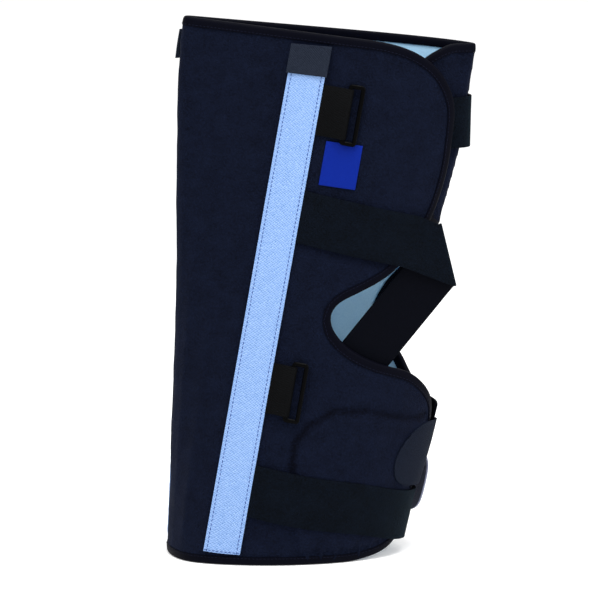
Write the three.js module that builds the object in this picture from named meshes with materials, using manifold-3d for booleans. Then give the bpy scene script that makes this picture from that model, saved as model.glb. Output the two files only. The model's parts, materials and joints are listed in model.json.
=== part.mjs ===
// Knee immobiliser: a padded wrap with three stay pockets, four straps and four rings.
// Millimetres, +Z up. X runs from the back of the leg to the front, and the outer side
// of the leg faces -Y. The wrap stands on its lower rim, centred on the origin.
//
// Everything that lies on the wrap is drawn flat, as cut from cloth, and then wrapped.
// Flat places are (u, height, out): u is the length along the wall from the middle of the
// back, above 0 on the outer side of the leg, and out is the distance off the outer face.

import * as THREE from 'three';
import { mergeVertices } from 'three/addons/utils/BufferGeometryUtils.js';
import Module from 'manifold-3d';

const wasm = await Module();
wasm.setup();

// Overall sizes
const wrapHeight = 519;
const backReach = 143;
const frontReach = 148;
const outerRimDrop = 33.5;
const innerRimDrop = 26.5;

// Cloth, foam and tape
const clearance = 0.3;
const sheetThickness = 6;
const tapeThickness = 1;
const bindingWidth = 8.5;
const layerGap = 4.6;
const strapThickness = 2;
const strapWidth = 49;
const strapLift = tapeThickness + clearance;

// Stay pockets and their closing tabs
const pocketWidth = 35.5;
const pocketThickness = 3;
const pocketTabWidth = 39;
const pocketTabLength = 28;
const pocketTabThickness = 1.4;

// Rings and the webbing that holds them
const ringWidth = 16;
const ringBar = 4;
const slotPlay = 0.6;
const ringLength = strapWidth + 2 * slotPlay + 2 * ringBar;
const ringThickness = 3.2;
const ringCorner = 3.5;
const ringBevel = 0.8;
const webbingThickness = 1.2;
const webbingPlay = 1;

// Label and hook tabs
const labelWidth = 35;
const labelHeight = 41;
const labelThickness = 0.8;
const hookTabWidth = 62;
const hookTabThickness = 1.6;

// Plan of the wrap at a few heights, which are shares of its own. back and front are shares of
// the two reaches. heel is the radius of the fold at the back, deep the half depth of the bulge
// and rise the power that shapes it from behind. tuck is the share of the inner wall where the
// inner flap has dipped under the outer one.
const levels = [
  { height: 0.0, back: 1.035, front: 0.51, heel: 28, deep: 49, rise: 0.55, tuck: 0.97 },
  { height: 0.12, back: 1.018, front: 0.605, heel: 25, deep: 49, rise: 0.62, tuck: 0.97 },
  { height: 0.27, back: 0.998, front: 0.74, heel: 21, deep: 47, rise: 0.75, tuck: 0.97 },
  { height: 0.5, back: 0.967, front: 0.765, heel: 16, deep: 40, rise: 1.0, tuck: 1.0 },
  { height: 0.62, back: 0.962, front: 0.79, heel: 13, deep: 34, rise: 1.15, tuck: 1.045 },
  { height: 0.75, back: 0.96, front: 0.905, heel: 11, deep: 28, rise: 1.25, tuck: 1.065 },
  { height: 0.93, back: 0.94, front: 1.0, heel: 9, deep: 22, rise: 1.4, tuck: 1.065 },
  { height: 1.0, back: 0.905, front: 1.03, heel: 9, deep: 20, rise: 1.4, tuck: 1.065 },
];

// Shares from 0 to 1 in even steps.
function sharesOf(steps) {
  return Array.from({ length: steps + 1 }, (unused, step) => step / steps);
}

function levelAt(height) {
  const share = THREE.MathUtils.clamp(height / wrapHeight, 0, 1);
  let row = 0;
  while (row < levels.length - 2 && share > levels[row + 1].height) {
    row += 1;
  }
  const before = levels[Math.max(row - 1, 0)];
  const start = levels[row];
  const end = levels[row + 1];
  const after = levels[Math.min(row + 2, levels.length - 1)];
  const span = end.height - start.height;
  const part = (share - start.height) / span;
  const level = {};
  for (const name of ['back', 'front', 'heel', 'deep', 'rise', 'tuck']) {
    const leave = ((end[name] - before[name]) / (end.height - before.height)) * span;
    const arrive = ((after[name] - start[name]) / (after.height - start.height)) * span;
    const square = part * part;
    const cube = square * part;
    level[name] =
      (2 * cube - 3 * square + 1) * start[name] +
      (cube - 2 * square + part) * leave +
      (3 * square - 2 * cube) * end[name] +
      (cube - square) * arrive;
  }
  return level;
}

// Half of the plan at one height, from the middle of the back to the front fold, with the
// length run so far and the outward direction at each point.
const planSteps = 72;
const plans = new Map();

function planAt(height) {
  if (plans.has(height)) {
    return plans.get(height);
  }
  const level = levelAt(height);
  const back = -level.back * backReach;
  const front = level.front * frontReach;
  const width = front - back;
  const top = level.rise / (level.rise + 0.5);
  const peak = top ** level.rise * Math.sqrt(1 - top);
  const points = [];
  for (let step = 0; step <= planSteps; step += 1) {
    const share = (1 - Math.cos((Math.PI * step) / planSteps)) / 2;
    const turn = 1 - Math.min((share * width) / level.heel, 1);
    const fold = level.heel * Math.sqrt(1 - turn * turn);
    const belly = (level.deep * share ** level.rise) / peak;
    const nose = Math.sqrt(1 - share);
    points.push(new THREE.Vector2(back + share * width, (fold + belly) * nose));
  }
  const lengths = [0];
  for (let step = 1; step < points.length; step += 1) {
    lengths.push(lengths[step - 1] + points[step].distanceTo(points[step - 1]));
  }
  const outs = points.map((point, step) => {
    if (step === 0) {
      return new THREE.Vector2(-1, 0);
    }
    if (step === points.length - 1) {
      return new THREE.Vector2(1, 0);
    }
    const run = points[step + 1].clone().sub(points[step - 1]);
    return new THREE.Vector2(-run.y, run.x).normalize();
  });
  const half = lengths[lengths.length - 1];
  const plan = { back, width, points, lengths, outs, half, tuck: level.tuck };
  plans.set(height, plan);
  return plan;
}

// Takes a flat place to its real place on the wrap.
function wrap(u, height, out) {
  const plan = planAt(height);
  let side = u > 0 ? -1 : 1;
  let run = Math.abs(u);
  if (run > plan.half) {
    run = 2 * plan.half - run;
    side = -side;
  }
  let step = 1;
  while (step < plan.lengths.length - 1 && plan.lengths[step] < run) {
    step += 1;
  }
  const part = (run - plan.lengths[step - 1]) / (plan.lengths[step] - plan.lengths[step - 1]);
  const point = plan.points[step - 1].clone().lerp(plan.points[step], part);
  const away = plan.outs[step - 1].clone().lerp(plan.outs[step], part).normalize();
  point.addScaledVector(away, out);
  return new THREE.Vector3(point.x, side * point.y, height);
}

// Flat length u of a place on the wall. Walls run from 0 at the back to 1 at the front fold
// by their share of the side view, negative on the inner side of the leg. Past -1 they
// go on round the fold, along the inside of the outer side.
function flatLength(wall, height) {
  const plan = planAt(height);
  const share = Math.abs(wall) > 1 ? 2 - Math.abs(wall) : Math.abs(wall);
  const x = plan.back + share * plan.width;
  let step = 1;
  while (step < plan.points.length - 1 && plan.points[step].x < x) {
    step += 1;
  }
  const span = plan.points[step].x - plan.points[step - 1].x;
  const part = span > 0 ? (x - plan.points[step - 1].x) / span : 0;
  const run = THREE.MathUtils.lerp(plan.lengths[step - 1], plan.lengths[step], part);
  const whole = Math.abs(wall) > 1 ? 2 * plan.half - run : run;
  return Math.sign(wall) * whole;
}

// The inner flap dips under the outer one as it comes round the front fold.
const tuckLength = 0.08;

function faceAt(u, height) {
  const plan = planAt(height);
  const dip = THREE.MathUtils.smoothstep(-u / plan.half, plan.tuck - tuckLength, plan.tuck);
  return -dip * (sheetThickness + layerGap);
}

// Height of the upper rim, which falls towards the front.
function rimHeight(wall) {
  const drop = wall > 0 ? outerRimDrop : innerRimDrop;
  return wrapHeight - drop * Math.min(Math.abs(wall), 1);
}

// Outline of the whole sheet, as {wall, up}: up is the share of the wrap's height.
function outlinePath() {
  const path = new THREE.Path();
  const spline = (rows) => path.splineThru(rows.map((row) => new THREE.Vector2(row.wall, row.up)));
  path.moveTo(0.8, 0);
  // Lower front corner of the outer flap, and its edge up to the knee opening
  spline([
    { wall: 0.93, up: 0.012 },
    { wall: 0.985, up: 0.04 },
    { wall: 0.995, up: 0.09 },
    { wall: 0.995, up: 0.26 },
    { wall: 0.979, up: 0.306 },
    { wall: 0.942, up: 0.332 },
    { wall: 0.89, up: 0.353 },
    { wall: 0.768, up: 0.372 },
    { wall: 0.662, up: 0.4 },
    { wall: 0.604, up: 0.43 },
    { wall: 0.586, up: 0.456 },
    { wall: 0.61, up: 0.48 },
    { wall: 0.68, up: 0.497 },
    { wall: 0.807, up: 0.53 },
    { wall: 0.896, up: 0.575 },
    { wall: 0.955, up: 0.632 },
    { wall: 0.968, up: 0.7 },
    { wall: 0.962, up: 0.77 },
    { wall: 0.954, up: 0.837 },
    { wall: 0.925, up: 0.871 },
    { wall: 0.899, up: 0.895 },
    { wall: 0.857, up: 0.916 },
    { wall: 0.825, up: 0.928 },
    { wall: 0.763, up: 0.944 },
    { wall: 0.68, up: rimHeight(0.68) / wrapHeight },
  ]);
  // Upper rim, over the back and round the front fold
  path.lineTo(0, 1);
  path.lineTo(-1, rimHeight(-1) / wrapHeight);
  path.lineTo(-1.08, rimHeight(-1) / wrapHeight);
  // Edge of the inner flap, down to the knee opening and on to its calf half
  spline([
    { wall: -1.16, up: 0.927 },
    { wall: -1.22, up: 0.893 },
    { wall: -1.25, up: 0.85 },
    { wall: -1.24, up: 0.79 },
    { wall: -1.19, up: 0.72 },
    { wall: -1.11, up: 0.66 },
    { wall: -1.0, up: 0.61 },
    { wall: -0.95, up: 0.565 },
    { wall: -0.9, up: 0.521 },
    { wall: -0.85, up: 0.496 },
    { wall: -0.8, up: 0.455 },
    { wall: -0.785, up: 0.425 },
    { wall: -0.81, up: 0.39 },
    { wall: -0.87, up: 0.364 },
    { wall: -0.915, up: 0.32 },
    { wall: -1.0, up: 0.277 },
    { wall: -1.14, up: 0.272 },
    { wall: -1.3, up: 0.283 },
    { wall: -1.42, up: 0.275 },
    { wall: -1.49, up: 0.245 },
    { wall: -1.515, up: 0.2 },
    { wall: -1.515, up: 0.13 },
    { wall: -1.48, up: 0.085 },
    { wall: -1.4, up: 0.062 },
    { wall: -1.15, up: 0.055 },
    { wall: -1.0, up: 0.05 },
    { wall: -0.92, up: 0.025 },
    { wall: -0.8, up: 0 },
  ]);
  path.lineTo(0, 0);
  path.lineTo(0.8, 0);
  return path;
}

// Stations along a line of flat places, as fractions of its places. They are evenly apart on a
// surface off the wrap, and so closer together where the wrap folds.
const stationReach = 12;

function evenStations(line, spacing) {
  const lengths = [0];
  for (let at = 1; at < line.length; at += 1) {
    const [start, end] = [line[at - 1], line[at]].map(({ x, y }) => wrap(x, y, stationReach));
    lengths.push(lengths[at - 1] + start.distanceTo(end));
  }
  const whole = lengths[lengths.length - 1];
  const count = Math.ceil(whole / spacing);
  const stations = [];
  let at = 0;
  for (let step = 0; step <= count; step += 1) {
    const goal = (step * whole) / count;
    while (at < line.length - 2 && lengths[at + 1] < goal) {
      at += 1;
    }
    stations.push(at + (goal - lengths[at]) / (lengths[at + 1] - lengths[at]));
  }
  return stations;
}

// The outline in flat millimetres.
const outlineStep = 14;
const curveSteps = 100;

function flatOutline() {
  const line = outlinePath().curves.flatMap((curve) =>
    sharesOf(curveSteps).map((share) => {
      const point = curve.getPoint(share);
      const height = point.y * wrapHeight;
      return new THREE.Vector2(flatLength(point.x, height), height);
    }),
  );
  const stations = evenStations(line, outlineStep);
  return stations.slice(0, -1).map((station) => {
    const at = Math.floor(station);
    return line[at].clone().lerp(line[at + 1], station - at);
  });
}

const sheetOutline = flatOutline();

// Inward direction of the outline at each of its points, the outline running anticlockwise.
const inwards = sheetOutline.map((point, step) => {
  const count = sheetOutline.length;
  const before = sheetOutline[(step + count - 1) % count];
  const after = sheetOutline[(step + 1) % count];
  const run = after.clone().sub(before).normalize();
  return new THREE.Vector2(-run.y, run.x);
});

function insetOutline(distance) {
  return sheetOutline.map((point, step) => point.clone().addScaledVector(inwards[step], distance));
}

// Geometry from a list of points and triangles.
function solidFrom(points, triangles) {
  const geometry = new THREE.BufferGeometry();
  const positions = points.flatMap((point) => [point.x, point.y, point.z]);
  geometry.setAttribute('position', new THREE.Float32BufferAttribute(positions, 3));
  geometry.setIndex(triangles.flat());
  return geometry;
}

// A closed solid between two grids of points, low under high.
function slab(low, high) {
  const rows = low.length;
  const columns = low[0].length;
  const points = [...low.flat(), ...high.flat()];
  const at = (grid, row, column) => (grid * rows + row) * columns + column;
  const triangles = [];
  const quad = (a, b, c, d) => triangles.push([a, b, c], [a, c, d]);
  for (let row = 0; row < rows - 1; row += 1) {
    for (let column = 0; column < columns - 1; column += 1) {
      const next = column + 1;
      quad(at(1, row, column), at(1, row, next), at(1, row + 1, next), at(1, row + 1, column));
      quad(at(0, row, column), at(0, row + 1, column), at(0, row + 1, next), at(0, row, next));
    }
  }
  for (let column = 0; column < columns - 1; column += 1) {
    const last = rows - 1;
    quad(at(0, 0, column), at(0, 0, column + 1), at(1, 0, column + 1), at(1, 0, column));
    quad(at(0, last, column), at(1, last, column), at(1, last, column + 1), at(0, last, column + 1));
  }
  for (let row = 0; row < rows - 1; row += 1) {
    const last = columns - 1;
    quad(at(0, row, 0), at(1, row, 0), at(1, row + 1, 0), at(0, row + 1, 0));
    quad(at(0, row, last), at(0, row + 1, last), at(1, row + 1, last), at(1, row, last));
  }
  return solidFrom(points, triangles);
}

// A closed tube between profiles that follow one another in a ring.
function ringOf(profiles) {
  const count = profiles.length;
  const sides = profiles[0].length;
  const triangles = [];
  for (let step = 0; step < count; step += 1) {
    const next = (step + 1) % count;
    for (let side = 0; side < sides; side += 1) {
      const turn = (side + 1) % sides;
      const [here, ahead] = [step * sides, next * sides];
      triangles.push([here + side, ahead + turn, here + turn]);
      triangles.push([here + side, ahead + side, ahead + turn]);
    }
  }
  return solidFrom(profiles.flat(), triangles);
}

// Materials
function cloth(color, roughness) {
  return new THREE.MeshStandardMaterial({ color, roughness, metalness: 0 });
}

const navyPile = cloth(0x181c2e, 0.95);
const navyBinding = cloth(0x121420, 0.7);
const lightBlueTwill = cloth(0x9dbce8, 0.8);
const charcoalCloth = cloth(0x24262c, 0.85);
const royalBlue = cloth(0x1937b4, 0.5);
const blackWebbing = cloth(0x0b0c10, 0.75);
const blackStrap = cloth(0x0e131b, 0.95);
const greyHook = cloth(0x3a3e46, 0.8);
const blackPlastic = new THREE.MeshStandardMaterial({ color: 0x0c0d10, roughness: 0.35, metalness: 0 });

const immobiliser = new THREE.Group();

function piece(name, geometry, material) {
  const mesh = new THREE.Mesh(geometry, material);
  mesh.name = name;
  immobiliser.add(mesh);
  return mesh;
}

// Wrap panel: one sheet of laminated foam, cut to the outline from a gridded blank. Columns
// of the blank follow the folds, closer where the plan turns tightly.
const blankColumns = [
  -1.53, -1.44, -1.36, -1.28, -1.2, -1.12, -1.07, -1.04, -1.015, -0.985, -0.96, -0.93, -0.89, -0.82,
  -0.74, -0.65, -0.55, -0.45, -0.35, -0.25, -0.16, -0.09, -0.05, -0.028, -0.01, 0.01, 0.028, 0.05,
  0.09, 0.16, 0.25, 0.35, 0.45, 0.55, 0.65, 0.74, 0.82, 0.89, 0.95, 1.02,
];
const blankRows = 16;

function flatBlank() {
  const margin = 8;
  const points = [];
  for (const out of [-sheetThickness, 0]) {
    for (let row = 0; row <= blankRows; row += 1) {
      const height = THREE.MathUtils.lerp(-margin, wrapHeight + margin, row / blankRows);
      const half = planAt(height).half;
      points.push(...blankColumns.map((share) => new THREE.Vector3(share * half, height, out)));
    }
  }
  const columns = blankColumns.length;
  const grid = (layer) => {
    const rows = [];
    for (let row = 0; row <= blankRows; row += 1) {
      const start = (layer * (blankRows + 1) + row) * columns;
      rows.push(points.slice(start, start + columns));
    }
    return rows;
  };
  return slab(grid(0), grid(1));
}

function toManifold(geometry) {
  geometry.deleteAttribute('normal');
  geometry.deleteAttribute('uv');
  const merged = mergeVertices(geometry, 1e-4);
  const triVerts = Uint32Array.from(merged.index.array);
  // A face number of its own keeps each facet apart through the cut
  const faceID = Uint32Array.from({ length: triVerts.length / 3 }, (unused, face) => face);
  const vertProperties = Float32Array.from(merged.attributes.position.array);
  return new wasm.Manifold(new wasm.Mesh({ numProp: 3, vertProperties, triVerts, faceID }));
}

function fromManifold(solid) {
  const { vertProperties, triVerts, numProp } = solid.getMesh();
  const positions = [];
  for (let at = 0; at < vertProperties.length; at += numProp) {
    positions.push(vertProperties[at], vertProperties[at + 1], vertProperties[at + 2]);
  }
  const geometry = new THREE.BufferGeometry();
  geometry.setAttribute('position', new THREE.Float32BufferAttribute(positions, 3));
  geometry.setIndex(Array.from(triVerts));
  return geometry;
}

function wrapPanel() {
  const cutter = new THREE.ExtrudeGeometry(new THREE.Shape(insetOutline(bindingWidth + 2 * clearance)), {
    depth: 4 * sheetThickness,
    bevelEnabled: false,
  });
  cutter.translate(0, 0, -2 * sheetThickness);
  const flat = fromManifold(toManifold(flatBlank()).intersect(toManifold(cutter)));
  const position = flat.attributes.position;
  for (let at = 0; at < position.count; at += 1) {
    const u = position.getX(at);
    const height = position.getY(at);
    const place = wrap(u, height, position.getZ(at) + faceAt(u, height));
    position.setXYZ(at, place.x, place.y, place.z);
  }
  return flat;
}

piece('wrap_panel', wrapPanel(), navyPile);

// Edge binding: a tape folded over the edge of the sheet all the way round.
function edgeBinding() {
  const half = sheetThickness / 2 + tapeThickness;
  const round = 1.6;
  const section = [
    { inward: 0, out: half - round },
    { inward: round, out: half },
    { inward: bindingWidth, out: half },
    { inward: bindingWidth, out: -half },
    { inward: round, out: -half },
    { inward: 0, out: round - half },
  ];
  const profiles = sheetOutline.map((point, step) =>
    section.map(({ inward, out }) => {
      const place = point.clone().addScaledVector(inwards[step], inward);
      const middle = faceAt(place.x, place.y) - sheetThickness / 2;
      return wrap(place.x, place.y, middle + out);
    }),
  );
  return ringOf(profiles);
}

piece('edge_binding', edgeBinding(), navyBinding);

// A flat strip on the wrap along rows of {place, width, lift}: its width is square to the
// line of places, and its lift is the gap under it.
function flatStrip(rows, thickness, columns) {
  const last = rows.length - 1;
  const grid = (ply) =>
    rows.map(({ place, width, lift }, row) => {
      const run = rows[Math.min(row + 1, last)].place.clone().sub(rows[Math.max(row - 1, 0)].place);
      const across = new THREE.Vector2(run.y, -run.x).normalize();
      const line = [];
      for (let column = 0; column <= columns; column += 1) {
        const spot = place.clone().addScaledVector(across, (column / columns - 0.5) * width);
        line.push(wrap(spot.x, spot.y, lift + ply * thickness));
      }
      return line;
    });
  return slab(grid(0), grid(1));
}

// Stay pockets: the side ones lean forward at the top. The back one lies beside the fold at
// the back, on the inner side of the leg, and nears the fold at the top.
const pocketLean = THREE.MathUtils.degToRad(10.1);
const pocketFoot = 12;
const pocketFootX = -0.653 * backReach;
const backPocketHead = -0.72 * pocketWidth;
const backPocketFoot = -1.08 * pocketWidth;
const rimGap = 2.5;
const mouthDrop = 3;

function pocketPlace(side, height) {
  if (side === 0) {
    const u = THREE.MathUtils.lerp(backPocketFoot, backPocketHead, height / wrapHeight);
    return new THREE.Vector2(u, height);
  }
  const plan = planAt(height);
  const x = pocketFootX + (height - pocketFoot) * Math.tan(pocketLean);
  return new THREE.Vector2(side * flatLength((x - plan.back) / plan.width, height), height);
}

// Each pocket ends just under the head of its tab, which closes the mouth. tabOff is how far
// the free foot of the tab stands off its pocket.
const pockets = [
  { name: 'lateral', side: 1, columns: 3, tabOff: 0 },
  { name: 'medial', side: -1, columns: 3, tabOff: 0 },
  { name: 'posterior', side: 0, columns: 8, tabOff: 2.5 },
];
const pocketRows = 13;

for (const { name, side, columns, tabOff } of pockets) {
  const headWall = pocketPlace(side, rimHeight(side)).x / planAt(rimHeight(side)).half;
  const head = rimHeight(headWall) - bindingWidth - rimGap;
  const rowsBetween = (from, to, steps, width, lifts) =>
    sharesOf(steps).map((share) => {
      const place = pocketPlace(side, THREE.MathUtils.lerp(from, to, share));
      return { place, width, lift: THREE.MathUtils.lerp(lifts[0], lifts[1], share) };
    });
  const pocketLift = 2.5 * clearance;
  const mouth = head - mouthDrop;
  const pocketLine = rowsBetween(pocketFoot, mouth, pocketRows, pocketWidth, [pocketLift, pocketLift]);
  piece(`${name}_stay_pocket`, flatStrip(pocketLine, pocketThickness, columns), lightBlueTwill);
  const tabLift = pocketThickness + 4.5 * clearance;
  const tabFoot = head - pocketTabLength;
  const tabLine = rowsBetween(tabFoot, head, 2, pocketTabWidth, [tabLift + tabOff, tabLift]);
  piece(`${name}_pocket_tab`, flatStrip(tabLine, pocketTabThickness, columns), charcoalCloth);
}

// Directions at a side pocket, in flat lengths: up along it, and forward square to it.
function pocketDirections(side, height) {
  const nudge = 5;
  const up = pocketPlace(side, height + nudge).sub(pocketPlace(side, height - nudge)).normalize();
  return { up, forward: new THREE.Vector2(side * up.y, -side * up.x) };
}

// A flat place in front of a side pocket, reach off its edge.
function beforePocket(side, height, reach) {
  const { forward } = pocketDirections(side, height);
  return pocketPlace(side, height).addScaledVector(forward, pocketWidth / 2 + clearance + reach);
}

// A group that stands on the wrap before a side pocket: its x runs forward, square to the
// pocket, its y along the pocket and its z outward.
function standing(side, height, reach, lift) {
  const nudge = 2;
  const place = beforePocket(side, height, reach);
  const { up, forward } = pocketDirections(side, height);
  const step = (direction) => {
    const ahead = place.clone().addScaledVector(direction, nudge);
    const behind = place.clone().addScaledVector(direction, -nudge);
    return wrap(ahead.x, ahead.y, lift).sub(wrap(behind.x, behind.y, lift)).normalize();
  };
  const along = step(up).multiplyScalar(side);
  const out = step(forward).cross(along).normalize();
  const ahead = along.clone().cross(out);
  const group = new THREE.Group();
  group.quaternion.setFromRotationMatrix(new THREE.Matrix4().makeBasis(ahead, along, out));
  group.position.copy(wrap(place.x, place.y, lift));
  immobiliser.add(group);
  return group;
}

// Ring: a flat plastic frame with rounded corners and a bevelled bar.
function ringGeometry() {
  const frame = (width, length, corner) => {
    const path = new THREE.Shape();
    const x = width / 2 - corner;
    const y = length / 2 - corner;
    path.absarc(x, y, corner, 0, Math.PI / 2);
    path.absarc(-x, y, corner, Math.PI / 2, Math.PI);
    path.absarc(-x, -y, corner, Math.PI, 1.5 * Math.PI);
    path.absarc(x, -y, corner, 1.5 * Math.PI, 2 * Math.PI);
    return path;
  };
  const rim = 2 * ringBevel;
  const shape = frame(ringWidth - rim, ringLength - rim, ringCorner - ringBevel);
  const inside = 2 * ringBar - rim;
  shape.holes.push(frame(ringWidth - inside, ringLength - inside, ringCorner / 3));
  const geometry = new THREE.ExtrudeGeometry(shape, {
    depth: ringThickness - rim,
    bevelThickness: ringBevel,
    bevelSize: ringBevel,
    bevelSegments: 1,
    curveSegments: 2,
  });
  geometry.translate(ringWidth / 2 - ringBar / 2, 0, ringBevel - ringThickness / 2);
  return geometry;
}

// Webbing: a tape doubled round the inner bar of the ring, in a tunnel that lets it swing.
const barReach = Math.hypot(ringBar / 2, ringThickness / 2 - ringBevel);
const tunnel = barReach + clearance;
const loopRadius = tunnel + webbingThickness;
const webbingWidth = ringLength - 2 * ringBar - 2 * webbingPlay;

function webbingGeometry(reach) {
  const taper = 3 * loopRadius;
  const doubled = 2 * webbingThickness;
  const shape = new THREE.Shape();
  shape.moveTo(-reach, -loopRadius);
  shape.lineTo(0, -loopRadius);
  shape.absarc(0, 0, loopRadius, -Math.PI / 2, Math.PI / 2);
  shape.lineTo(-taper, doubled - loopRadius);
  shape.lineTo(-reach, doubled - loopRadius);
  shape.closePath();
  const hole = new THREE.Path();
  hole.absarc(0, 0, tunnel, 0, 2 * Math.PI, true);
  shape.holes.push(hole);
  const geometry = new THREE.ExtrudeGeometry(shape, {
    depth: webbingWidth,
    bevelEnabled: false,
    curveSegments: 6,
  });
  geometry.translate(0, 0, -webbingWidth / 2);
  geometry.rotateX(Math.PI / 2);
  return geometry;
}

// The rings, by side and by their height at the pocket, a share of the wrap's. reach is the
// webbing's length from the pocket to the bar, and swing turns the ring off the wrap.
const threadedSwing = THREE.MathUtils.degToRad(14);
const rings = [
  { name: 'lateral_upper', side: 1, up: 0.836, reach: 25.7, swing: 0 },
  { name: 'lateral_lower', side: 1, up: 0.3256, reach: 19.5, swing: 0 },
  { name: 'medial_upper', side: -1, up: 0.636, reach: 21, swing: 0 },
  { name: 'medial_lower', side: -1, up: 0.127, reach: 21, swing: threadedSwing },
];

for (const { name, side, up, reach, swing } of rings) {
  const seat = standing(side, up * wrapHeight, reach, clearance + loopRadius);
  const webbing = piece(`${name}_webbing`, webbingGeometry(reach), blackWebbing);
  const ring = piece(`${name}_ring`, ringGeometry(), blackPlastic);
  ring.rotation.y = -swing;
  seat.add(webbing, ring);
}

// Label patch under the upper outer ring. labelDrop is from the ring's middle to its foot.
const labelReach = 29;
const labelDrop = 68;
const labelFoot = rings[0].up * wrapHeight - labelDrop;
const labelRows = sharesOf(2).map((share) => {
  const place = beforePocket(1, labelFoot + share * labelHeight, labelReach);
  return { place, width: labelWidth, lift: clearance };
});
piece('label_patch', flatStrip(labelRows, labelThickness, 3), royalBlue);

// A strap between rungs, each a pair of real places across its width.
function strapFrom(rungs) {
  const last = rungs.length - 1;
  const plies = [-0.5, 0.5].map((ply) =>
    rungs.map(([start, end], row) => {
      const middle = (rung) => rung[0].clone().lerp(rung[1], 0.5);
      const run = middle(rungs[Math.min(row + 1, last)]).sub(middle(rungs[Math.max(row - 1, 0)]));
      const out = end.clone().sub(start).cross(run).normalize();
      const lift = out.multiplyScalar(ply * strapThickness);
      return [0, 0.5, 1].map((share) => start.clone().lerp(end, share).add(lift));
    }),
  );
  return slab(plies[0], plies[1]);
}

// Rungs along a smooth route of flat places {u, height, lift, lean, flare}: lift is the distance
// of the strap's middle off the face, lean turns the rung towards larger u at its top, and flare
// is what the strap's lower edge stands off beyond its lift.
const rungStep = 11;

function wrappedRungs(route, { dips = false, towards = 0 } = {}) {
  const places = route.map(({ u, height, lift }) => new THREE.Vector3(u, height, lift));
  const curve = new THREE.CatmullRomCurve3(places, false, 'chordal');
  const turns = new THREE.SplineCurve(route.map(({ lean, flare = 0 }) => new THREE.Vector2(lean, flare)));
  const forward = towards || Math.sign(route[1].u - route[0].u);
  const line = sharesOf(curveSteps).map((share) => curve.getPoint(share));
  return evenStations(line, rungStep).map((station) => {
    const middle = curve.getPoint(station / curveSteps);
    const { x: lean, y: flare } = turns.getPoint(station / curveSteps);
    const across = new THREE.Vector3(Math.sin(lean), Math.cos(lean), 0).multiplyScalar(forward);
    return [0.5, -0.5].map((reach) => {
      const place = middle.clone().addScaledVector(across, reach * strapWidth);
      const dip = dips ? faceAt(place.x, place.y) : 0;
      const stand = place.y < middle.y ? flare : 0;
      return wrap(place.x, place.y, place.z + dip + stand);
    });
  });
}

// A flat place by its wall and by its height as a share of the wrap's.
function onWall(wall, up, lift, lean = 0, flare = 0) {
  const height = up * wrapHeight;
  return { u: flatLength(wall, height), height, lift, lean, flare };
}

function offPocket(side, share, reach, lift) {
  const height = share * wrapHeight;
  const place = beforePocket(side, height, reach);
  const { up } = pocketDirections(side, height);
  return { u: place.x, height: place.y, lift, lean: Math.atan2(up.x, up.y) };
}

const strapMiddle = strapLift + strapThickness / 2;
const overEdge = strapMiddle + 1;

// Upper thigh strap: from the inner pocket round the front fold and under the outer flap
const upperThighRoute = [
  offPocket(-1, 0.871, 0, strapMiddle),
  onWall(-0.81, 0.825, strapMiddle, -0.2),
  onWall(-1, 0.806, strapMiddle, -0.1, 7),
  onWall(-1.04, 0.804, strapMiddle, -0.1),
  onWall(-1.13, 0.799, strapMiddle),
];
piece('upper_thigh_strap', strapFrom(wrappedRungs(upperThighRoute, { dips: true })), blackStrap);

// Lower thigh strap: from the outer pocket over the knee opening, folded over in front of it
// and left down into it, behind the outer flap's calf half.
const foldTurn = 2.3;
const lowerThighRoute = [
  offPocket(1, 0.644, 0, strapMiddle),
  onWall(0.7, 0.613, strapMiddle, 0.24),
  onWall(0.881, 0.593, overEdge, 0.24),
];
const foldTop = new THREE.Vector3(0.76 * frontReach, -0.203 * backReach, 0.623 * wrapHeight);
const foldFoot = new THREE.Vector3(0.86 * frontReach, -0.175 * backReach, 0.5065 * wrapHeight);
const foldForward = new THREE.Vector3(foldTop.z - foldFoot.z, 0, foldFoot.x - foldTop.x).normalize();
const foldRungs = [-90, -45, 0, 45, 90].map((angle) => {
  const turn = THREE.MathUtils.degToRad(angle);
  const bend = foldForward.clone().multiplyScalar(foldTurn * Math.cos(turn));
  bend.y = foldTurn * Math.sin(turn);
  return [foldTop.clone().add(bend), foldFoot.clone().add(bend)];
});
const behindFlap = -(sheetThickness + strapMiddle + 2 * clearance);
const endRungs = [
  [onWall(0.637, 0.4085, behindFlap), onWall(0.796, 0.3468, behindFlap)],
  [onWall(0.563, 0.364, behindFlap), onWall(0.726, 0.3025, behindFlap)],
].map((rung) => rung.map(({ u, height, lift }) => wrap(u, height, lift)));

// Rungs in even steps between two others, both left out.
function rungsBetween(start, end, steps) {
  const shares = sharesOf(steps).slice(1, -1);
  return shares.map((share) => [0, 1].map((at) => start[at].clone().lerp(end[at], share)));
}

const lowerThighAttached = wrappedRungs(lowerThighRoute);
const lowerThighRungs = [
  ...lowerThighAttached,
  ...rungsBetween(lowerThighAttached[lowerThighAttached.length - 1], foldRungs[0], 3),
  ...foldRungs,
  ...rungsBetween(foldRungs[foldRungs.length - 1], endRungs[0], 6),
  ...endRungs,
];
piece('lower_thigh_strap', strapFrom(lowerThighRungs), blackStrap);

// Upper calf strap: from the inner pocket round the front fold onto the outer flap
const upperCalfRoute = [
  offPocket(-1, 0.331, 0, strapMiddle),
  onWall(-0.75, 0.28, strapMiddle, -0.3),
  onWall(-0.95, 0.24, overEdge, -0.2),
  onWall(-1, 0.232, overEdge, -0.2),
];
piece('upper_calf_strap', strapFrom(wrappedRungs(upperCalfRoute)), blackStrap);

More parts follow.
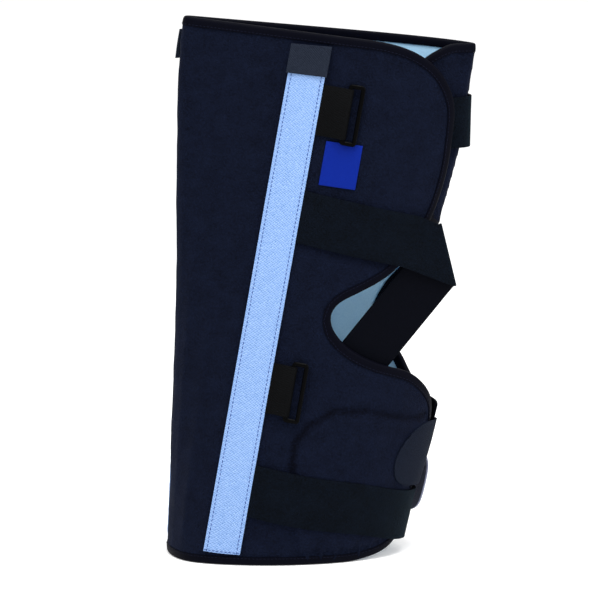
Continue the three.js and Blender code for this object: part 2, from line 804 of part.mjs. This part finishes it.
// Hook tab: a flat tongue with a round end, from one flat place to the tip of another. It
// lies on its strap's end along its seat, and its lift changes from there to its tip.
function hookTab({ root, tip, seat, rootLift, tipLift }) {
  const rootPlace = new THREE.Vector2(root.u, root.height);
  const run = new THREE.Vector2(tip.u, tip.height).sub(rootPlace);
  const radius = hookTabWidth / 2;
  const straight = run.length() - radius;
  const shape = sharesOf(4).map((share) => ({ along: share * straight, width: hookTabWidth }));
  for (const turn of [0.2, 0.4, 0.6, 0.8, 0.96]) {
    const angle = (turn * Math.PI) / 2;
    shape.push({ along: straight + radius * Math.sin(angle), width: hookTabWidth * Math.cos(angle) });
  }
  const rows = shape.map(({ along, width }) => {
    const settled = THREE.MathUtils.smoothstep(along, seat, seat + radius);
    const lift = THREE.MathUtils.lerp(rootLift, tipLift, settled);
    return { place: rootPlace.clone().addScaledVector(run, along / run.length()), width, lift };
  });
  return flatStrip(rows, hookTabThickness, 4);
}

const tabOverStrap = overEdge + strapThickness / 2 + 2.2 * clearance;
const upperCalfTab = hookTab({
  root: onWall(-0.985, 0.186),
  tip: onWall(-1.115, 0.198),
  seat: 16,
  rootLift: tabOverStrap,
  tipLift: strapLift + clearance,
});
piece('upper_calf_hook_tab', upperCalfTab, charcoalCloth);

// Lower calf strap: from the outer pocket round the front fold, through the lower inner ring
// and back to the front, where its end stands off the flap.
function roundFold({ u, height, lift, lean }) {
  return { u: 2 * planAt(height).half + u, height, lift, lean };
}

const threaded = rings.find(({ name }) => name === 'medial_lower');
const threadedSeat = immobiliser.getObjectByName('medial_lower_ring').parent;
const turnRadius = barReach + clearance + strapThickness / 2;

// A rung of the strap beside the threaded ring's outer bar, forward of it and off it.
function besideBar(forward, lift) {
  threadedSeat.updateMatrix();
  const reach = (ringWidth - ringBar) * Math.cos(threaded.swing) + forward;
  const out = (ringWidth - ringBar) * Math.sin(threaded.swing) + lift;
  return [0.5, -0.5].map((end) => {
    const place = new THREE.Vector3(reach, end * threaded.side * strapWidth, out);
    return place.applyMatrix4(threadedSeat.matrix);
  });
}

const standOff = 9;
const towardsRing = [
  offPocket(1, 0.1406, 0, strapMiddle),
  onWall(0.55, 0.1185, strapMiddle, 0.15),
  onWall(0.8, 0.0992, strapMiddle),
  onWall(0.97, 0.077, overEdge),
  roundFold(onWall(-0.97, 0.072, overEdge)),
  roundFold(onWall(-0.8, 0.0867, strapMiddle)),
  roundFold(onWall(-0.62, 0.104, strapMiddle)),
];
const fromRing = [
  roundFold(onWall(-0.7, 0.11, standOff - 1)),
  roundFold(onWall(-0.82, 0.1214, standOff)),
  roundFold(onWall(-0.93, 0.129, standOff)),
];
const roundBar = [-90, -45, 0, 45, 90].map((angle) => {
  const turn = THREE.MathUtils.degToRad(angle);
  return besideBar(-turnRadius * Math.cos(turn), turnRadius * Math.sin(turn));
});
const lowerCalfRungs = [
  ...wrappedRungs(towardsRing),
  ...roundBar,
  ...wrappedRungs(fromRing, { towards: 1 }),
];
piece('lower_calf_strap', strapFrom(lowerCalfRungs), blackStrap);

const tabOverEnd = standOff + strapThickness / 2 + 3 * clearance;
const lowerCalfTab = hookTab({
  root: onWall(-0.9, 0.127),
  tip: onWall(-1, 0.112),
  seat: 20,
  rootLift: tabOverEnd,
  tipLift: tabOverEnd,
});
piece('lower_calf_hook_tab', lowerCalfTab, greyHook);

// The origin is on the floor, under the middle of the whole object.
const extent = new THREE.Box3().setFromObject(immobiliser, true);
const middle = extent.getCenter(new THREE.Vector3());
for (const child of immobiliser.children) {
  child.position.x -= middle.x;
  child.position.y -= middle.y;
}

export default immobiliser;
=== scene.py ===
import json
import math

import bmesh
import bpy
from mathutils import Matrix, Vector, noise
from mathutils.bvhtree import BVHTree
from mathutils.kdtree import KDTree

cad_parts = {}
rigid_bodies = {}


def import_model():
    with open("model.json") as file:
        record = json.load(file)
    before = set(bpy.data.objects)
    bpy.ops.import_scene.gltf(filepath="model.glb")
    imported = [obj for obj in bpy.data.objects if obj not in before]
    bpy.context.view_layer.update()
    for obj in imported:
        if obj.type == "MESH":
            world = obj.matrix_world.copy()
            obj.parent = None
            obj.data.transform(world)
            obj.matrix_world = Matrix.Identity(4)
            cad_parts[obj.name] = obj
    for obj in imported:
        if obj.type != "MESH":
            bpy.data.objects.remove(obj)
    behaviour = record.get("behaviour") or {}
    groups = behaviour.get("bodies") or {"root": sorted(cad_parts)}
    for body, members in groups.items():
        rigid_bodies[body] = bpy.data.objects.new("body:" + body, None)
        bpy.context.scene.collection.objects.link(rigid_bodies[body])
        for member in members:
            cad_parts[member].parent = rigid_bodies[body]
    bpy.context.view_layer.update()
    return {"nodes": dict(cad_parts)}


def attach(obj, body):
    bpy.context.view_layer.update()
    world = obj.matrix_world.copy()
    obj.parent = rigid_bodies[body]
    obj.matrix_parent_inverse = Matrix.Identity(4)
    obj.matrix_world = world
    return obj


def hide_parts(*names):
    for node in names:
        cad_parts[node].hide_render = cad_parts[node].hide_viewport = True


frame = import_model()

mm = 0.001


# Wrap panel
# One sheet of foam laminate, brushed navy pile outside and light blue lining inside, cut to
# its outline. Its raw edge runs into the binding, and the inner flap shows through as a ridge.
def merged_copy(node, name):
    """A copy of a CAD node with its loose triangles joined, left in edit mode."""
    piece = bpy.data.objects.new(name, frame["nodes"][node].data.copy())
    piece.data.materials.clear()
    bpy.context.collection.objects.link(piece)
    bpy.ops.object.select_all(action="DESELECT")
    piece.select_set(True)
    bpy.context.view_layer.objects.active = piece
    bpy.ops.mesh.customdata_custom_splitnormals_clear()
    bpy.ops.object.mode_set(mode="EDIT")
    bpy.ops.mesh.select_all(action="SELECT")
    bpy.ops.mesh.remove_doubles(threshold=0.02 * mm)
    return piece


def select_side(piece, nearest, angle):
    """Selects the faces that run on from one picked face without crossing a sharp edge."""
    bpy.ops.mesh.select_mode(type="EDGE")
    bpy.ops.mesh.select_all(action="DESELECT")
    bpy.ops.mesh.edges_select_sharp(sharpness=math.radians(angle))
    bpy.ops.mesh.mark_sharp()
    bpy.ops.mesh.select_mode(type="FACE")
    bpy.ops.mesh.select_all(action="DESELECT")
    shape = bmesh.from_edit_mesh(piece.data)
    min(shape.faces, key=nearest).select_set(True)
    bmesh.update_edit_mesh(piece.data)
    bpy.ops.mesh.select_linked(delimit={"SHARP"})


def picked_faces(piece):
    """The vertex numbers of each selected face of a piece in edit mode."""
    shape = bmesh.from_edit_mesh(piece.data)
    return [tuple(vertex.index for vertex in face.verts) for face in shape.faces if face.select]


def tree_of(places):
    """A tree that finds the nearest of some places."""
    tree = KDTree(len(places))
    for number, place in enumerate(places):
        tree.insert(place, number)
    tree.balance()
    return tree


def apply_modifier(piece, kind, **settings):
    modifier = piece.modifiers.new(kind.title(), kind)
    for name, value in settings.items():
        setattr(modifier, name, value)
    bpy.ops.object.modifier_apply(modifier=modifier.name)


class Value:
    """A socket of a material's nodes. Sums on it add Math nodes."""

    def __init__(self, finish, socket):
        self.finish = finish
        self.socket = socket

    def __add__(self, other):
        return self.finish.node("Math", {"operation": "ADD"}, {0: self, 1: other})

    def __sub__(self, other):
        return self.finish.node("Math", {"operation": "SUBTRACT"}, {0: self, 1: other})

    def __mul__(self, other):
        return self.finish.node("Math", {"operation": "MULTIPLY"}, {0: self, 1: other})

    def sine(self):
        return self.finish.node("Math", {"operation": "SINE"}, {0: self})


class Finish:
    """A material: even values of its Principled shader by name, and its other nodes one by one."""

    def __init__(self, name, **even):
        self.material = bpy.data.materials.new(name)
        self.material.use_nodes = True
        self.tree = self.material.node_tree
        self.shader = self.tree.nodes["Principled BSDF"]
        for socket, value in even.items():
            self.shader.inputs[socket.replace("_", " ")].default_value = value

    def node(self, kind, settings, values, output=0):
        node = self.tree.nodes.new("ShaderNode" + kind)
        for name, value in settings.items():
            setattr(node, name, value)
        for name, value in values.items():
            self.feed(node.inputs[name], value)
        return Value(self, node.outputs[output])

    def feed(self, socket, value):
        if isinstance(value, Value):
            self.tree.links.new(value.socket, socket)
        else:
            socket.default_value = value

    def place(self):
        return self.node("TexCoord", {}, {}, "Object")

    def place_parts(self):
        """The three coordinates of a place on the piece."""
        split = self.node("SeparateXYZ", {}, {0: self.place()}).socket.node
        return [Value(self, output) for output in split.outputs]

    def speckle(self, scale, detail, roughness=0.5):
        """Noise over the places of the piece."""
        values = {"Vector": self.place(), "Scale": scale, "Detail": detail, "Roughness": roughness}
        return self.node("TexNoise", {}, values)

    def colour(self, share, low, high):
        mixed = self.node("Mix", {"data_type": "RGBA"}, {0: share, 6: low, 7: high}, 2)
        self.feed(self.shader.inputs["Base Color"], mixed)

    def bump(self, height, depth, strength):
        bumped = self.node("Bump", {}, {"Height": height, "Distance": depth, "Strength": strength})
        self.feed(self.shader.inputs["Normal"], bumped)


def paint(red, green, blue):
    """A screen colour from 0 to 255 as the shader's linear one."""
    return (*[(part / 255) ** 2.2 for part in (red, green, blue)], 1)


def pile_finish(name, low, high, loop, sheen, tint):
    """Looped pile: loops about loop wide, brushed in soft patches, with a fuzzy sheen."""
    finish = Finish(
        name,
        Roughness=0.95,
        Specular_IOR_Level=0.06,
        Sheen_Weight=sheen,
        Sheen_Roughness=0.45,
        Sheen_Tint=tint,
    )
    loops = finish.speckle(1 / loop, 3, 0.7)
    patches = finish.speckle(60, 4, 0.6) * 0.6
    # Painted shade: a point attribute darkens the colour along the panel's ridge groove.
    painted_ridge_shade = finish.node("Attribute", {"attribute_name": "painted_ridge_shade"}, {}, "Fac")
    loop_contrast = 1.6
    middle = 0.65
    finish.colour(loops * loop_contrast + patches - middle - painted_ridge_shade, low, high)
    finish.bump(loops + patches, 1.2 * loop, 0.7)
    return finish.material


navy_pile = pile_finish(
    "navy_pile",
    low=paint(7, 9, 18),
    high=paint(23, 29, 46),
    loop=1.6 * mm,
    sheen=0.05,
    tint=paint(110, 125, 180),
)

lining = Finish("lining", Roughness=0.85, Specular_IOR_Level=0.1)
lining_threads = lining.speckle(700, 3)
lining.colour(lining_threads, paint(150, 196, 226), paint(185, 220, 240))
lining.bump(lining_threads, 0.3 * mm, 0.4)

# The sheet's folds are blunter than rim_angle in degrees, and the edges of its rim sharper.
# The rim is grown into the binding by rim_reach, and the sheet is remeshed in voxels.
rim_angle = 55
rim_reach = 4 * mm
voxel = 2.6 * mm

panel = merged_copy("wrap_panel", "padded_wrap")
all_faces = picked_faces(panel)
select_side(panel, lambda face: face.calc_center_median().y, rim_angle)
sheet_places = [vertex.co.copy() for vertex in bmesh.from_edit_mesh(panel.data).verts]
outer_faces = picked_faces(panel)
select_side(panel, lambda face: -face.calc_center_median().z, rim_angle)
not_inner = {*outer_faces, *picked_faces(panel)}
inner_faces = [face for face in all_faces if face not in not_inner]
outer_tree = BVHTree.FromPolygons(sheet_places, outer_faces)
inner_tree = BVHTree.FromPolygons(sheet_places, inner_faces)
bpy.ops.mesh.extrude_region_shrink_fatten(TRANSFORM_OT_shrink_fatten={"value": rim_reach})
bpy.ops.object.mode_set(mode="OBJECT")
panel.data.remesh_voxel_size = voxel
bpy.ops.object.voxel_remesh()
apply_modifier(panel, "SMOOTH", factor=0.5, iterations=8)

# The inner calf flap's edge, seen through the outer flap, from the front fold to the back:
# millimetres forward and up. It shows on the near side below ridge_top.
ridge_line = [
    (109, 138),
    (89, 136),
    (74, 139),
    (46, 147),
    (14, 148),
    (-11, 134),
    (-24, 117),
    (-26, 97),
    (-24, 60),
]
ridge_line = [Vector((forward * mm, up * mm)) for forward, up in ridge_line]
ridge_top = 160 * mm
near_side = -20 * mm


def inside_ridge(place):
    """How far a place lies inside the ridge line: above 0 on the side of the flap below it."""
    best = None
    for start, end in zip(ridge_line, ridge_line[1:]):
        run = end - start
        share = max(0, min(1, (place - start).dot(run) / run.length_squared))
        away = place - (start + run * share)
        if best is None or away.length < best[0]:
            best = (away.length, run.x * away.y - run.y * away.x)
    return math.copysign(best[0], best[1])


def smooth_step(share):
    share = max(0, min(1, share))
    return share * share * (3 - 2 * share)


def is_lining(place):
    """Whether a place is nearer to the sheet's inner face than to its outer one."""
    return inner_tree.find_nearest(place)[3] < outer_tree.find_nearest(place)[3]


# The ridge is a step up with a groove before it, and the groove's colour is darkened with painted
# shade. The pile sways, less towards the rim.
# The step's height and the groove's depth are plain millimetres, as the sway is.
step_width = 6 * mm
step_height = 2
groove_width = 3.4 * mm
groove_depth = 1.6
painted_groove_shade = 0.38
rim_margin = 6 * mm
rim_fade = 20 * mm

rim_tree = tree_of([vertex.co for vertex in frame["nodes"]["edge_binding"].data.vertices])
lining_places = [is_lining(vertex.co) for vertex in panel.data.vertices]
panel_normals = [vertex.normal.copy() for vertex in panel.data.vertices]
# The ridge groove's painted shade, stored per point and read by the pile's colour.
painted_ridge_shade = panel.data.attributes.new("painted_ridge_shade", "FLOAT", "POINT")
for vertex, normal, lined in zip(panel.data.vertices, panel_normals, lining_places):
    free = smooth_step((rim_tree.find(vertex.co)[2] - rim_margin) / rim_fade)
    broad_sway = noise.noise(vertex.co * 22) * 0.9
    fine_sway = noise.noise(vertex.co * 60) * 0.35
    sway = (broad_sway + fine_sway) * free
    on_near_calf = vertex.co.y < near_side and vertex.co.z < ridge_top
    if on_near_calf and free > 0 and not lined:
        deep = inside_ridge(Vector((vertex.co.x, vertex.co.z)))
        groove = math.exp(-((deep / groove_width) ** 2))
        painted_ridge_shade.data[vertex.index].value = painted_groove_shade * groove
        step = smooth_step(deep / step_width + 0.5)
        sway += step_height * step - groove_depth * groove
    vertex.co += normal * (-sway if lined else sway) * mm
panel.data.materials.append(navy_pile)
panel.data.materials.append(lining.material)
for face in panel.data.polygons:
    face.material_index = int(all(lining_places[number] for number in face.vertices))
    face.use_smooth = True
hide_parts("wrap_panel")
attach(panel, "wrap")


# Edge binding
# A smooth navy tape folded over the raw edge all the way round. A row of stitches along its
# inner edge holds both sides.
def near_black(name, low, high, roughness, threads):
    """Smooth dark cloth or tape with a fine thread grain."""
    finish = Finish(name, Roughness=roughness, Specular_IOR_Level=0.04)
    grain = finish.speckle(1 / threads, 2)
    finish.colour(grain, low, high)
    finish.bump(grain, threads / 2, 0.35)
    return finish.material


binding_tape = near_black(
    "navy_tape",
    low=paint(2, 3, 9),
    high=paint(9, 11, 24),
    roughness=0.6,
    threads=0.7 * mm,
)
navy_thread = near_black(
    "navy_thread",
    low=paint(13, 15, 27),
    high=paint(28, 31, 47),
    roughness=0.6,
    threads=0.2 * mm,
)


def sew(name, row, stitch, gap, thickness, thread):
    """Stitches along a row of (place, way out of the cloth), each a thread half sunk in it."""
    bpy.ops.object.select_all(action="DESELECT")
    bpy.ops.mesh.primitive_uv_sphere_add(segments=6, ring_count=4, radius=0.5)
    single = bpy.context.object
    seam = bmesh.new()
    run = 0
    due = stitch / 2
    for (start, out), (end, unused) in zip(row, row[1:]):
        length = (end - start).length
        while length > 0 and due < run + length:
            along = (end - start).normalized()
            across = out.cross(along).normalized()
            away = along.cross(across)
            sides = (along * stitch, across * thickness, away * thickness)
            turned = Matrix(sides).transposed().to_4x4()
            turned.translation = start.lerp(end, (due - run) / length)
            copy = single.data.copy()
            copy.transform(turned)
            seam.from_mesh(copy)
            bpy.data.meshes.remove(copy)
            due += stitch + gap
        run += length
    bpy.data.objects.remove(single)
    mesh = bpy.data.meshes.new(name)
    seam.to_mesh(mesh)
    mesh.materials.append(thread)
    piece = bpy.data.objects.new(name, mesh)
    bpy.context.collection.objects.link(piece)
    for face in mesh.polygons:
        face.use_smooth = True
    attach(piece, "wrap")
    return piece


# Edges of tape and cloth are sharper than this angle in degrees, and their folds blunter.
cloth_angle = 60
thread_lift = 0.1 * mm


def join_quads():
    """Joins pairs of triangles of the piece in edit mode, round its folds too."""
    bpy.ops.mesh.tris_convert_to_quads(
        face_threshold=math.radians(cloth_angle),
        shape_threshold=math.radians(180),
    )


def crease_edges(amount):
    """Creases the sharp edges of the piece in edit mode, so that smoothing keeps them."""
    bpy.ops.mesh.select_mode(type="EDGE")
    bpy.ops.mesh.select_all(action="DESELECT")
    bpy.ops.mesh.edges_select_sharp(sharpness=math.radians(cloth_angle))
    bpy.ops.transform.edge_crease(value=amount)


def tape_rows(piece, inset, fewest):
    """The rows of (place, way out) where the tape is sewn, one on each side of the sheet."""
    shape = bmesh.new()
    shape.from_mesh(piece.data)
    sharp = [edge for edge in shape.edges if edge.calc_face_angle(0) > math.radians(cloth_angle)]
    sharp.sort(key=lambda edge: -(edge.verts[0].co + edge.verts[1].co).z)
    all_sharp = set(sharp)
    left = set(sharp)
    rows = []

    def sharp_sides(face):
        return sum(side in all_sharp for side in face.edges)

    for edge in sharp:
        if edge not in left:
            continue
        row = []
        first, corner = edge.verts
        while edge:
            left.discard(edge)
            # The tape's cut edge has a sharp edge on both sides, and its face has one.
            cut, face = sorted(edge.link_faces, key=sharp_sides, reverse=True)
            middle = (edge.verts[0].co + edge.verts[1].co) / 2
            sewn = middle - cut.normal * inset + face.normal * thread_lift
            row.append((sewn, face.normal.copy()))
            way = corner.co - edge.other_vert(corner).co
            ahead = [side for side in corner.link_edges if side in left]
            turns = [(side.other_vert(corner).co - corner.co).angle(way) for side in ahead]
            edge = ahead[turns.index(min(turns))] if ahead else None
            if edge:
                corner = edge.other_vert(corner)
        if corner == first:
            row.append(row[0])
        if len(row) > fewest:
            rows.append(row)
    return rows


binding = merged_copy("edge_binding", "binding")
join_quads()
bpy.ops.object.mode_set(mode="OBJECT")
binding_rows = tape_rows(binding, inset=1.6 * mm, fewest=100)
bpy.ops.object.mode_set(mode="EDIT")
crease_edges(0.85)
bpy.ops.object.mode_set(mode="OBJECT")
apply_modifier(binding, "SUBSURF", levels=2, render_levels=2)
bpy.ops.object.shade_smooth_by_angle(angle=math.radians(50))
binding.data.materials.append(binding_tape)
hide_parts("edge_binding")
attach(binding, "wrap")
for number, row in enumerate(binding_rows):
    seam = sew(
        f"binding_stitches_{number + 1}",
        row,
        stitch=2.9 * mm,
        gap=0.7 * mm,
        thickness=0.7 * mm,
        thread=navy_thread,
    )


# Stay pockets
# Sleeves of pebbled light blue twill over the metal stays, hemmed along both sides and sewn
# down inside each hem with dark blue thread.
def twill_finish(name, low, high, pitch, roughness, depth):
    """Woven twill: slanting ribs a pitch apart, broken into short floats."""
    finish = Finish(name, Roughness=roughness, Specular_IOR_Level=0.05)
    forward, sideways, height = finish.place_parts()
    level = forward + sideways
    turn = 2 * math.pi / pitch
    grain = finish.speckle(0.6 / pitch, 3)
    # The ribs climb steeply, the floats cross them, and both wander with the grain.
    ribs = (height * (0.78 * turn) - level * (0.62 * turn) + grain * 9).sine()
    floats = (level * (0.55 * turn) + height * (0.4 * turn) + grain * 7).sine()
    weave = ribs * 0.3 + floats * 0.2 + grain * 0.7 + 0.15
    finish.colour(weave, low, high)
    finish.bump(weave, depth, 0.8)
    return finish.material


light_blue_twill = twill_finish(
    "light_blue_twill",
    low=paint(96, 130, 180),
    high=paint(146, 173, 218),
    pitch=1.5 * mm,
    roughness=0.75,
    depth=0.3 * mm,
)
dark_blue_thread = near_black(
    "dark_blue_thread",
    low=paint(22, 38, 92),
    high=paint(44, 66, 130),
    roughness=0.6,
    threads=0.2 * mm,
)


def round_edges(piece, edge, segments, angle):
    """Rounds the edges of a piece that are sharper than an angle in degrees, and smooths it."""
    limit = {"limit_method": "ANGLE", "angle_limit": math.radians(angle)}
    apply_modifier(piece, "BEVEL", width=edge, segments=segments, **limit)
    bpy.ops.object.shade_smooth_by_angle(angle=math.radians(40))


def slab_copy(node, name, level, edge):
    """A copy of a flat cloth piece, its facets smoothed lengthwise and its edges rounded."""
    piece = merged_copy(node, name)
    join_quads()
    crease_edges(1)
    bpy.ops.object.mode_set(mode="OBJECT")
    apply_modifier(piece, "SUBSURF", levels=level, render_levels=level)
    round_edges(piece, edge, segments=2, angle=50)
    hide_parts(node)
    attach(piece, "wrap")
    return piece


def long_edges(node, side):
    """The two long edges of a stay pocket's outer face, each a list of places from its foot up."""
    piece = merged_copy(node, "outline")
    join_quads()
    select_side(piece, lambda face: -side * face.calc_center_median().y, cloth_angle)
    bpy.ops.mesh.region_to_loop()
    upright = set()
    for edge in bmesh.from_edit_mesh(piece.data).edges:
        rise = abs(edge.verts[0].co.z - edge.verts[1].co.z)
        if edge.select and rise > 20 * mm:
            upright.update(edge.verts)
    places = sorted(upright, key=lambda vertex: vertex.co.z)
    rear = []
    front = []
    for low, high in zip(places[::2], places[1::2]):
        pair = sorted((low.co.copy(), high.co.copy()), key=lambda place: place.x)
        rear.append(pair[0])
        front.append(pair[1])
    bpy.ops.object.mode_set(mode="OBJECT")
    bpy.data.objects.remove(piece)
    return rear, front


def along_line(line, step):
    """Places a step apart along a line of places."""
    places = []
    for start, end in zip(line, line[1:]):
        count = max(1, round((end - start).length / step))
        places.extend(start.lerp(end, number / count) for number in range(count))
    return places + [line[-1]]


# The sleeve dips along the seams of its hems, and the stay inside lifts its middle, which is
# stay_half from its edge. hem_dip and stay_lift are plain millimetres.
hem_width = 3.3 * mm
hem_dip = 0.45
dip_width = 1.1 * mm
stay_lift = 0.35
stay_half = 17.75 * mm
flat_edge = 1.5 * mm
foot_hem = Vector((0, 0, 1.4 * mm))

# Each pocket, with the side of the wrap that its outer face looks to.
stays = [("lateral", -1), ("medial", 1), ("posterior", 1)]
for name, side in stays:
    rear, front = long_edges(f"{name}_stay_pocket", side)
    pocket = slab_copy(f"{name}_stay_pocket", f"{name}_stay_sleeve", level=3, edge=0.5 * mm)
    edge_tree = tree_of(along_line(rear, 2 * mm) + along_line(front, 2 * mm))
    for vertex in pocket.data.vertices:
        inset = edge_tree.find(vertex.co)[2]
        if vertex.normal.y * side < 0.2 or inset < flat_edge:
            continue
        past_hem = inset - hem_width
        sway = -hem_dip * math.exp(-((past_hem / dip_width) ** 2))
        sway += stay_lift * smooth_step(past_hem / (stay_half - hem_width))
        sway += 0.12 * noise.noise(vertex.co * 120)
        vertex.co += vertex.normal * sway * mm
    pocket.data.materials.append(light_blue_twill)
    tree = BVHTree.FromObject(pocket, bpy.context.evaluated_depsgraph_get())
    seams = [
        [start + (far - start).normalized() * hem_width for start, far in zip(rear, front)],
        [start + (far - start).normalized() * hem_width for start, far in zip(front, rear)],
        [rear[0] + foot_hem, front[0] + foot_hem],
    ]
    for number, line in enumerate(seams):
        row = [tree.find_nearest(place)[:2] for place in along_line(line, 4 * mm)]
        seam = sew(
            f"{name}_stay_stitches_{number + 1}",
            row,
            stitch=3.2 * mm,
            gap=0.9 * mm,
            thickness=0.8 * mm,
            thread=dark_blue_thread,
        )


# Pocket tabs
# Squares of charcoal hook-and-loop cloth folded over the pocket mouths and pressed shut.
charcoal_cloth = twill_finish(
    "charcoal_cloth",
    low=paint(14, 17, 26),
    high=paint(44, 50, 62),
    pitch=1.1 * mm,
    roughness=0.8,
    depth=0.3 * mm,
)
for name, unused in stays:
    tab = slab_copy(f"{name}_pocket_tab", f"{name}_pocket_flap", level=3, edge=0.3 * mm)
    tab.data.materials.append(charcoal_cloth)


# Webbing loops
# Black woven tape doubled round the inner bar of each ring and sewn under the stay pocket.
woven_black = twill_finish(
    "woven_black",
    low=paint(2, 2, 3),
    high=paint(15, 16, 18),
    pitch=1.3 * mm,
    roughness=0.65,
    depth=0.35 * mm,
)
ring_places = ("lateral_upper", "lateral_lower", "medial_upper", "medial_lower")


def rounded_copy(node, name, edge, segments, angle):
    """A copy of a piece with its flat facets joined and its edges rounded."""
    piece = merged_copy(node, name)
    bpy.ops.mesh.dissolve_limited(angle_limit=math.radians(2))
    bpy.ops.object.mode_set(mode="OBJECT")
    round_edges(piece, edge, segments, angle)
    return piece


for place in ring_places:
    webbing = rounded_copy(
        f"{place}_webbing",
        f"{place}_tape_loop",
        edge=0.25 * mm,
        segments=2,
        angle=50,
    )
    webbing.data.materials.append(woven_black)
    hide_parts(f"{place}_webbing")
    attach(webbing, "wrap")


# Rings
# Flat frames moulded in satin black plastic, their corners rounded and their bars bevelled.
satin_plastic = Finish("satin_plastic", Specular_IOR_Level=0.04)
moulded = satin_plastic.speckle(1500, 2)
satin_plastic.colour(moulded, paint(1, 1, 2), paint(6, 6, 8))
satin_plastic.feed(satin_plastic.shader.inputs["Roughness"], moulded * 0.2 + 0.25)
satin_plastic.bump(moulded, 0.1 * mm, 0.3)
for place in ring_places:
    ring = rounded_copy(
        f"{place}_ring",
        f"{place}_frame",
        edge=0.4 * mm,
        segments=3,
        angle=20,
    )
    ring.data.materials.append(satin_plastic.material)
    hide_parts(f"{place}_ring")
    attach(ring, "wrap" if place == "medial_lower" else f"{place}_ring")


# Label
# A plain patch of royal blue satin weave, sewn on under the upper outer ring.
royal_blue = twill_finish(
    "royal_blue_satin",
    low=paint(8, 26, 104),
    high=paint(16, 42, 132),
    pitch=0.6 * mm,
    roughness=0.5,
    depth=0.12 * mm,
)
label = slab_copy("label_patch", "label", level=3, edge=0.2 * mm)
label.data.materials.append(royal_blue)


# Straps
# Flat black tapes with looped pile on the outer face and a smooth knitted back. Those of the
# calf and the upper thigh go round the front, and the lower thigh strap is folded over.
strap_pile = pile_finish(
    "black_pile",
    low=paint(1, 2, 5),
    high=paint(17, 23, 33),
    loop=1.5 * mm,
    sheen=0.04,
    tint=paint(90, 170, 200),
)
strap_back = near_black(
    "black_knit",
    low=paint(3, 4, 9),
    high=paint(10, 13, 22),
    roughness=0.7,
    threads=0.8 * mm,
)


def from_sewn_end(face, sewn_side):
    """Least at the outermost face of a strap's sewn end, on one side of the wrap."""
    middle = face.calc_center_median()
    faces_out = face.normal.y * sewn_side > 0.8 and middle.y * sewn_side > 0
    return middle.x if faces_out else 1


# Each strap, with the side of the wrap that it is sewn to.
straps = [("upper_thigh", 1), ("lower_thigh", -1), ("upper_calf", 1), ("lower_calf", -1)]
for name, sewn_side in straps:
    strap = slab_copy(f"{name}_strap", f"{name}_tape", level=2, edge=0.5 * mm)
    strap.data.materials.append(strap_back)
    strap.data.materials.append(strap_pile)
    bpy.ops.object.select_all(action="DESELECT")
    strap.select_set(True)
    bpy.context.view_layer.objects.active = strap
    bpy.ops.object.mode_set(mode="EDIT")
    select_side(strap, lambda face: from_sewn_end(face, sewn_side), 35)
    strap.active_material_index = 1
    bpy.ops.object.material_slot_assign()
    bpy.ops.object.mode_set(mode="OBJECT")


# Hook tabs
# Tongues of hook tape at the ends of the calf straps, charcoal on the upper one and on the lower
# one charcoal lightened to light grey by painted highlight of grazing light, with pebbled backs.
# Painted highlight: the lower tongue's charcoal tape is coloured light grey where grazing light
# brightens it.
painted_highlight_grey_cloth = twill_finish(
    "painted_highlight_grey_cloth",
    low=paint(94, 98, 118),
    high=paint(138, 142, 164),
    pitch=1.1 * mm,
    roughness=0.7,
    depth=0.3 * mm,
)
slate_cloth = twill_finish(
    "slate_cloth",
    low=paint(9, 12, 20),
    high=paint(29, 35, 48),
    pitch=1.1 * mm,
    roughness=0.8,
    depth=0.3 * mm,
)
tongues = [("upper_calf", slate_cloth, "charcoal_cloth"), ("lower_calf", painted_highlight_grey_cloth, "grey_hook")]
for name, finish, kept in tongues:
    tongue = slab_copy(f"{name}_hook_tab", f"{name}_tongue", level=2, edge=0.4 * mm)
    tongue.data.materials.append(finish)


# Studio
# A white floor that runs out of sight under soft white light, and the photograph's long lens,
# a little above the piece and looking down on it.
white = (1, 1, 1, 1)
paper = Finish("paper", Roughness=0.9, Specular_IOR_Level=0.1)
paper.shader.inputs["Base Color"].default_value = (0.92, 0.92, 0.92, 1)
paper.shader.inputs["Emission Color"].default_value = white
paper.shader.inputs["Emission Strength"].default_value = 0.22
bpy.ops.mesh.primitive_plane_add(size=60, location=(0, 0, -0.1 * mm))
sweep = bpy.context.object
sweep.name = "studio_floor"
sweep.data.materials.append(paper.material)

world = bpy.data.worlds.new("studio")
world.use_nodes = True
background = world.node_tree.nodes["Background"]
background.inputs["Color"].default_value = white
background.inputs["Strength"].default_value = 0.86
bpy.context.scene.world = world
bpy.context.scene.view_settings.view_transform = "Standard"
lit_place = Vector((0, 0, 0.26))


def soft_light(name, place, size, watts):
    """A square light that shines on the middle of the piece."""
    bpy.ops.object.light_add(type="AREA", location=place)
    light = bpy.context.object
    light.name = name
    light.data.size = size
    light.data.energy = watts
    light.rotation_mode = "QUATERNION"
    light.rotation_quaternion = (lit_place - Vector(place)).to_track_quat("-Z", "Y")


soft_light("key_light", (-1.1, -1.7, 3.0), size=1.2, watts=34)
soft_light("fill_light", (2.4, -0.8, 1.6), size=1.2, watts=22)
soft_light("top_light", (0.3, -0.6, 2.4), size=1.0, watts=40)

# The lens is long for a film 36 mm wide. Its length was worked out in pixels of the picture.
film_width = 36
picture_pixels = 591
focal_pixels = 3590
look_down = 9.5
bpy.ops.object.camera_add(location=(-23.7 * mm, -3404.4 * mm, 818.7 * mm))
camera = bpy.context.object
camera.name = "camera"
camera.rotation_euler = (math.radians(90 - look_down), 0, 0)
camera.data.lens = focal_pixels * film_width / picture_pixels
camera.data.clip_end = 100
bpy.context.scene.camera = camera
